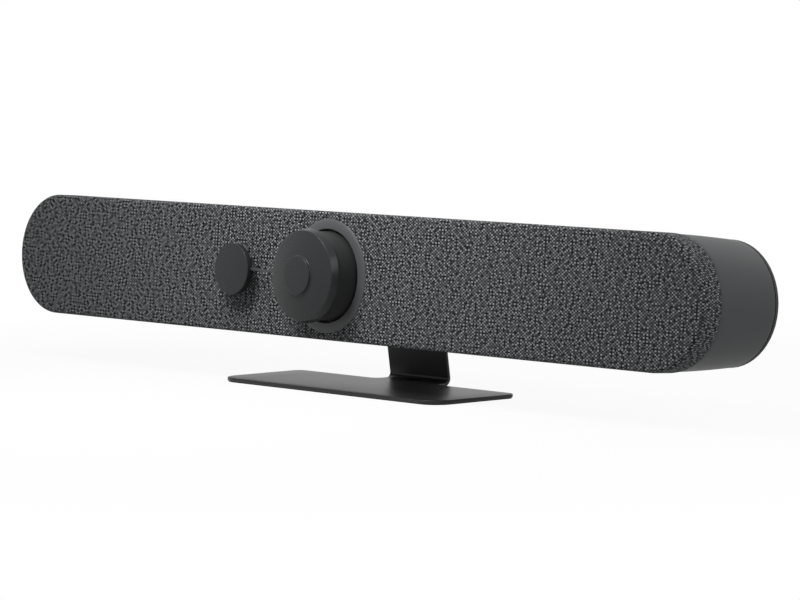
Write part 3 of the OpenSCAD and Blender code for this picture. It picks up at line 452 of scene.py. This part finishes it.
# Sight window
# A small ring of black plastic pressed through the fabric, with a window of dark coated glass
# on a step a little way down it.
ring_r, ring_top, ring_edge = 9.4, 0.8, 0.4
mouth_r, mouth_edge = 7.6, 0.35
step_r, step_z, step_edge = 4.6, -3, 0.2
stem_r, stem_low, stem_edge = 8.6, -7, 0.2
pane_r, pane_edge = 4.4, 0.25
pane_low, pane_heel = -4.2, 0.1
ring_profile = rounded([
    (ring_r, 0, 0), (ring_r, ring_top, ring_edge), (mouth_r, ring_top, mouth_edge),
    (mouth_r, step_z, 0), (step_r, step_z, step_edge), (step_r, stem_low, 0),
    (stem_r, stem_low, stem_edge), (stem_r, 0, 0)])
black_plastic = moulded("black_satin", (0.014, 0.0145, 0.016), 0.38, 0.0005, 0.00001)
fit(turned("sight_ring", ring_profile, sight_x, steps=72), black_plastic, "inner_plastic",
    "viewfinder_ring")


def coated(name, tint, gloss):
    """Coated glass over a dark barrel: nearly black seen straight on, with a coloured sheen that
    Layer Weight brings up towards its rim, a painted reflection in the base colour, and the
    faintest smears in its gloss."""
    finish = Finish(name)
    smear = finish.cloud(0.006, detail=4.0)
    # Painted reflection: the facing share brings the coating's coloured sheen into the base colour
    edge = finish.node("ShaderNodeLayerWeight", {}, {"Blend": 0.35}, out="Facing")
    return finish.surface(
        Base_Color=finish.between((0.004, 0.005, 0.008), tint, edge * edge),
        Roughness=gloss + 0.03 * smear, Coat_Weight=0.6, Coat_Roughness=0.02, IOR=1.6)


sight_glass = rounded([
    (0, step_z, 0), (pane_r, step_z, pane_edge), (pane_r, pane_low, pane_heel), (0, pane_low, 0)])
fit(turned("sight_glass", sight_glass, sight_x, steps=48),
    coated("sight_coating", (0.05, 0.02, 0.09), 0.05), "optic_glass", "viewfinder_glass")

# Camera head
# A ball of black moulded plastic, cut off at its front, back and sides, that tilts on two
# shafts. A bulged glass closes its front, over a barrel ridged inside against stray light.
ball_r, ball_z, flat_x = 27.5, -16.0, 20.0
ball_bore, glass_seat, nose_r = 13.2, 15.2, 16.5
ledge_z, nose_z = 4.0, 6.0
seat_chamfer, nose_flat, bore_chamfer = 0.3, 0.2, 0.4
nose_turn, back_share = 0.012, -0.436
barrel_r, barrel_front, barrel_back, barrel_chamfer = 13.0, 3.6, -28.2, 0.2
ridge_count, ridge_deep = 16, 0.25
ridge_r, ridge_out, ridge_low, ridge_run = 9.9, 1.5, -2.8, 6.4
glass_r, glass_top, glass_bulge = 14.7, 6.3, 1.0
glass_step, glass_shoulder, glass_low = 0.3, 5.0, 4.1
element_r, element_top, element_curve = 8.8, 2.0, 14.08


def head_skin():
    """The outline runs down the glass's seat and out round the sphere to the back and the bore.
    It is turned round Z, and what lies beyond the two side flats is drawn in to them."""
    polar = np.linspace(math.asin(nose_r / ball_r) + nose_turn, math.acos(back_share), 44)
    sphere = np.stack([ball_r * np.sin(polar), ball_z + ball_r * np.cos(polar)], -1)
    back = sphere[-1, 1]
    profile = np.concatenate([
        [[ball_bore, ledge_z], [glass_seat, ledge_z], [glass_seat, nose_z - seat_chamfer],
         [glass_seat + seat_chamfer, nose_z], [nose_r - nose_flat, nose_z]],
        sphere, [[ball_bore + bore_chamfer, back], [ball_bore, back + bore_chamfer]]])
    angle = np.arange(240)[:, None] * 2 * np.pi / 240
    x = np.clip(profile[:, 0] * np.cos(angle), -flat_x, flat_x)
    return skin("head_ball", on_bar(x, profile[:, 0] * np.sin(angle), profile[:, 1]))


head_plastic = moulded("head_black", (0.012, 0.0125, 0.014), 0.3, 0.0005, 0.000008)
fit(head_skin(), head_plastic, "head_plastic", "camera_head", body="camera_head")

ridge = np.arange(ridge_count + 1)
ridge_share = ridge / ridge_count
ridges = np.stack([ridge_r + ridge_out * ridge_share + ridge_deep * (ridge % 2),
                   ridge_low + ridge_run * ridge_share], -1)
barrel_profile = np.concatenate([
    [[0, ridge_low]], ridges,
    [[barrel_r - barrel_chamfer, barrel_front], [barrel_r, barrel_front - barrel_chamfer],
     [barrel_r, barrel_back], [0, barrel_back]]])
ridged_black = moulded("ridged_black", (0.007, 0.0072, 0.0078), 0.62, 0.0004, 0.00001)
fit(turned("ridged_barrel", barrel_profile, crease=20), ridged_black, "inner_plastic",
    "lens_barrel", body="camera_head")

out_share = np.linspace(0, 1, 11)
front_glass = np.concatenate([
    np.stack([glass_r * out_share, glass_top - glass_bulge * out_share ** 2], -1),
    [[glass_r + glass_step, glass_shoulder], [glass_r + glass_step, glass_low], [0, glass_low]]])
clear = Finish("clear_glass")
smear = clear.cloud(0.01)
fit(turned("front_glass", front_glass), clear.surface(
    Base_Color=clear.between((0.006, 0.008, 0.012), (0.01, 0.012, 0.018), smear),
    Roughness=0.03 + 0.02 * smear, Alpha=0.15, Specular_IOR_Level=0.05),
    "optic_glass", "lens_glass", body="camera_head")
element_out = element_r * out_share
element = np.concatenate([
    np.stack([element_out, element_top - element_curve
              + np.sqrt(element_curve ** 2 - element_out ** 2)], -1),
    [[element_r, ridge_low], [0, ridge_low]]])
fit(turned("inner_element", element, steps=96), coated("lens_coating", (0.05, 0.03, 0.16), 0.03),
    "optic_glass", "lens_element", body="camera_head")

# Base and neck
# One strip of 2.6 mm steel in dark satin paint: a flat base plate with round corners, a narrow
# neck bent up from its rear edge, and a flange bent to lie against the rear cover.
sheet_t = 2.6
plate_top = 3.2
plate_half, plate_deep = 115.5, 39.0
front_round, rear_round, foot_round = 15.8, 7.7, 6.0
plate_edge, neck_edge = 0.6, 0.7
neck_half = 31.0
neck_degrees = 7.9
neck_lean = math.radians(neck_degrees)
bend_r = 3.5
bend_y, bend_z = 48.4, plate_top + bend_r
bend_clear, slack = 3, 0.1
cover_back, flange_low, flange_top, flange_round = 75, 10.1, 35, 7
# Where the plate's long straight edges have a point
far_stop, near_stop, neck_stop = 90, 64, 26


def arc_points(x, y, radius, start, end, steps):
    """Points of an arc round x, y, from one angle to another in degrees."""
    angle = np.radians(np.linspace(start, end, steps))
    return np.stack([x + radius * np.cos(angle), y + radius * np.sin(angle)], -1)


def plate_skin():
    """The plate's outline, arcs at its corners and where the neck leaves it, carries an edge
    profile that is drawn in from it at top and bottom, and fans in to the plate's middle."""
    right = np.concatenate([
        arc_points(plate_half - front_round, front_round - plate_deep, front_round, -90, 0, 13),
        arc_points(plate_half - rear_round, plate_deep - rear_round, rear_round, 0, 90, 11),
        [[far_stop, plate_deep], [near_stop, plate_deep]],
        arc_points(neck_half + foot_round, plate_deep + foot_round, foot_round, -90, -180, 9),
        [[neck_half, bend_y]]])
    outline = np.concatenate([
        np.stack([np.linspace(-far_stop, far_stop, 7), np.full(7, -plate_deep)], -1), right,
        np.stack([np.linspace(neck_stop, -neck_stop, 5), np.full(5, bend_y)], -1),
        right[::-1] * (-1, 1)])
    side = np.roll(outline, -1, 0) - np.roll(outline, 1, 0)
    outward = np.stack([side[:, 1], -side[:, 0]], -1)
    outward /= np.linalg.norm(outward, axis=1, keepdims=True)
    edge = np.where(outline[:, 1:] > bend_y - slack, 0, plate_edge)
    roll = np.linspace(0, np.pi / 2, 5)
    drawn = np.concatenate([1 - np.sin(roll), 1 - np.cos(roll)])
    drop = np.concatenate([1 - np.cos(roll), 1 - np.sin(roll)])
    rim = outline[:, None] - outward[:, None] * (edge * drawn)[..., None]
    upper = np.arange(2 * len(roll)) < len(roll)
    rise = np.where(upper, plate_top, plate_top - sheet_t) + np.where(upper, -1, 1) * edge * drop
    fan = np.linspace(0, 1, 6)[None, :-1, None]
    top, bottom = rim[:, :1] * fan, rim[:, -1:] * fan[:, ::-1]
    x, y = np.moveaxis(np.concatenate([top, rim, bottom], 1), 2, 0)
    flat_z = np.full((len(outline), fan.shape[1]), plate_top)
    z = np.hstack([flat_z, rise, flat_z - sheet_t])
    return skin("base_plate", np.stack([x, y, z], -1) / 1000)


def neck_skin():
    """A flat section with rounded edges carried along the sheet's middle line, which is an arc, a
    straight run and a counter arc. The section narrows by two circles at the flange's top."""
    rear = np.array([math.cos(bar_tilt), -math.sin(bar_tilt)])
    up = np.array([math.sin(bar_tilt), math.cos(bar_tilt)])
    turn_r = bend_r + sheet_t / 2
    foot = arc_points(bend_y, bend_z, turn_r, -90, neck_degrees, 25)
    cover = np.array([-bar_ahead, bar_rise]) + cover_back * rear
    turn_z = flange_low - (bend_r + sheet_t) * math.tan((neck_lean + bar_tilt) / 2)
    turn_at = cover + up * turn_z + rear * (bend_r + sheet_t)
    bend = arc_points(*turn_at, turn_r, 180 + neck_degrees, 180 - lean_degrees, 7)
    middle_line = cover + rear * sheet_t / 2
    top = flange_top - flange_round
    straight = middle_line + up * np.linspace(turn_z + bend_clear, top, 6)[:, None]
    crown = np.linspace(0, np.pi / 2, 11)[1:]
    crest = middle_line + up * (top + flange_round * np.sin(crown))[:, None]
    path = np.concatenate([foot, bend, straight, crest])
    half = np.concatenate([
        np.full(len(path) - len(crown), neck_half),
        neck_half - flange_round + flange_round * np.cos(crown)])
    tangent = np.gradient(path, axis=0)
    tangent[0] = (1, 0)
    tangent /= np.linalg.norm(tangent, axis=1, keepdims=True)
    across = np.stack([tangent[:, 1], -tangent[:, 0]], -1)
    roll = np.linspace(-np.pi / 2, np.pi / 2, 9)
    drawn = neck_edge * np.cos(roll) - neck_edge
    lift = neck_edge * np.sin(roll) + np.sign(np.sin(roll)) * (sheet_t / 2 - neck_edge)
    side = np.repeat([1, -1], len(roll))
    depth = np.concatenate([lift, lift[::-1]])
    x = side * half[:, None] + np.concatenate([drawn, -drawn])
    y, z = np.moveaxis(path[:, None] + across[:, None] * depth[None, :, None], 2, 0)
    ring = np.stack([x, y, z], -1)
    middle = ring.mean(1, keepdims=True) * (0, 1, 1)
    low_end, high_end = (np.repeat(end, len(depth), 1) for end in (middle[:1], middle[-1:]))
    return skin("neck", np.concatenate([low_end, ring, high_end]) / 1000)


def painted_steel():
    """Satin dark paint on steel: a pebbled skin of small rounded bumps, with a broad drift in
    colour and in gloss. It is nearly black face on and shines grey seen along the surface."""
    finish = Finish("painted_steel")
    pebble = finish.cloud(0.0009, detail=2.0)
    drift = finish.cloud(0.08)
    return finish.surface(
        Base_Color=finish.between((0.016, 0.0163, 0.017), (0.021, 0.0213, 0.022), drift),
        IOR=1.33, Roughness=0.3 + 0.06 * drift + 0.05 * pebble,
        Normal=finish.bump(pebble, 0.00001))


stand_paint = painted_steel()
fit(plate_skin(), stand_paint, "stand_paint", "stand_plate")
fit(neck_skin(), stand_paint, "stand_paint")

# Pieces kept as they were built
# Screws, sockets, boards and the rest keep their own shapes and get the finish of the stuff
# that they are made of.
yellow_metal = Finish("insert_brass")
swirl = yellow_metal.cloud(0.002)
finishes = {
    "grille_fabric": weave,
    "shell_plastic": shell_plastic,
    "cover_plastic": moulded("cover_abs", (0.05, 0.051, 0.052), 0.55, 0.0009, 0.00004),
    "inner_plastic": moulded("inner_abs", (0.02, 0.021, 0.022), 0.6),
    "bezel_plastic": bezel_plastic,
    "cap_plastic": cap_plastic,
    "cap_rubber": sleeve_plastic,
    "optic_glass": coated("glass_coating", (0.03, 0.06, 0.16), 0.03),
    "head_plastic": head_plastic,
    "bright_steel": moulded(
        "bright_steel", (0.55, 0.55, 0.56), 0.28, 0.0008, 0.000004, Metallic=1.0),
    "dark_steel": moulded("dark_steel", (0.12, 0.12, 0.125), 0.34, 0.0008, 0.000006, Metallic=1.0),
    "stand_paint": stand_paint,
    "motor_case": moulded("motor_case", (0.3, 0.3, 0.31), 0.4, 0.001, 0.00001, Metallic=0.9),
    "yoke_metal": moulded("yoke_alloy", (0.4, 0.41, 0.42), 0.45, 0.0007, 0.00002, Metallic=0.9),
    "sink_metal": moulded("sink_alloy", (0.45, 0.46, 0.47), 0.42, 0.0006, 0.00002, Metallic=1.0),
    "board": moulded("board_green", (0.012, 0.05, 0.025), 0.45, 0.003, 0.00001),
    "insert_brass": yellow_metal.surface(
        Base_Color=yellow_metal.between((0.55, 0.38, 0.14), (0.66, 0.48, 0.2), swirl),
        Metallic=1.0, Roughness=0.25 + 0.15 * swirl),
    "cone_paper": moulded("cone_paper", (0.02, 0.02, 0.021), 0.85, 0.0012, 0.00008),
    "pad_rubber": moulded("pad_rubber", (0.013, 0.013, 0.014), 0.8, 0.0008, 0.00005),
}
for part in frame["record"]["subparts"]:
    coats = frame["nodes"][part["node"]].data.materials
    coats.clear()
    coats.append(finishes[part["material_slot"]])

# Studio
# A soft lamp above the front, a broad one at the right end, one behind, and a weak even glow.
# The pale floor stays in the picture as white, with the object's own shadow on it.
floor_side = 4.0
near_floor, far_floor = 0.35, 0.7
floor_glow, air_glow = 0.94, 0.12
unseen_paper, seen_paper = (0.45,) * 3, (0.9,) * 3


def seen_rays(finish):
    """1 on rays that show what they meet straight, in a gloss or through glass, else 0."""
    rays = finish.node("ShaderNodeLightPath").socket.node.outputs
    straight, glossy, through = (Flow(finish, rays[kind]) for kind in (
        "Is Camera Ray", "Is Glossy Ray", "Is Transmission Ray"))
    return straight.math("MAXIMUM", glossy).math("MAXIMUM", through)


def lamp(name, spot, target, size, power):
    """A square soft lamp of that size in metres, turned from its spot towards its target."""
    light = bpy.data.lights.new(name, "AREA")
    light.size, light.energy = size, power
    holder = bpy.data.objects.new(name, light)
    holder.location = spot
    holder.rotation_euler = (Vector(target) - Vector(spot)).to_track_quat("-Z", "Y").to_euler()
    bpy.context.scene.collection.objects.link(holder)


lamp("key_above", (0, -0.33, 0.53), (0, -0.03, 0.08), 0.3, 3.2)
lamp("right_end", (1.4, 0.2, 0.75), (0.3, 0, 0.08), 0.9, 7.6)
lamp("behind", (0.2, 1.6, 1.1), (0, 0, 0.08), 1.2, 3.4)

floor_corners = [(x * floor_side, y * floor_side, 0)
                 for x, y in ((-1, -1), (1, -1), (1, 1), (-1, 1))]
floor_mesh = bpy.data.meshes.new("floor")
floor_mesh.from_pydata(floor_corners, [], [(0, 1, 2, 3)])
floor = bpy.data.objects.new("floor", floor_mesh)
bpy.context.scene.collection.objects.link(floor)
paper = Finish("studio_paper")
seen = seen_rays(paper)
distance = paper.node(
    "ShaderNodeVectorMath", {"operation": "LENGTH"}, {0: paper.place()}, out="Value")
far = paper.node("ShaderNodeMapRange", {}, {
    "Value": distance, "From Min": near_floor, "From Max": far_floor})
matte = paper.node("ShaderNodeBsdfDiffuse", {}, {
    "Color": paper.between(unseen_paper, seen_paper, seen)})
white = paper.node("ShaderNodeEmission", {}, {"Color": (1, 1, 1, 1), "Strength": 1.0})
lit = paper.node("ShaderNodeMixShader", {}, {
    "Fac": seen * (floor_glow + (1 - floor_glow) * far), 1: matte, 2: white})
paper.node("ShaderNodeOutputMaterial", {}, {"Surface": lit})
floor_mesh.materials.append(paper.material)

world = bpy.data.worlds.new("studio")
bpy.context.scene.world = world
air = Finish("studio", world)
glow = air.node("ShaderNodeBackground", {}, {
    "Color": (1, 1, 1, 1), "Strength": seen_rays(air).math("MAXIMUM", air_glow)})
air.node("ShaderNodeOutputWorld", {}, {"Surface": glow})
bpy.context.scene.view_settings.view_transform = "Standard"
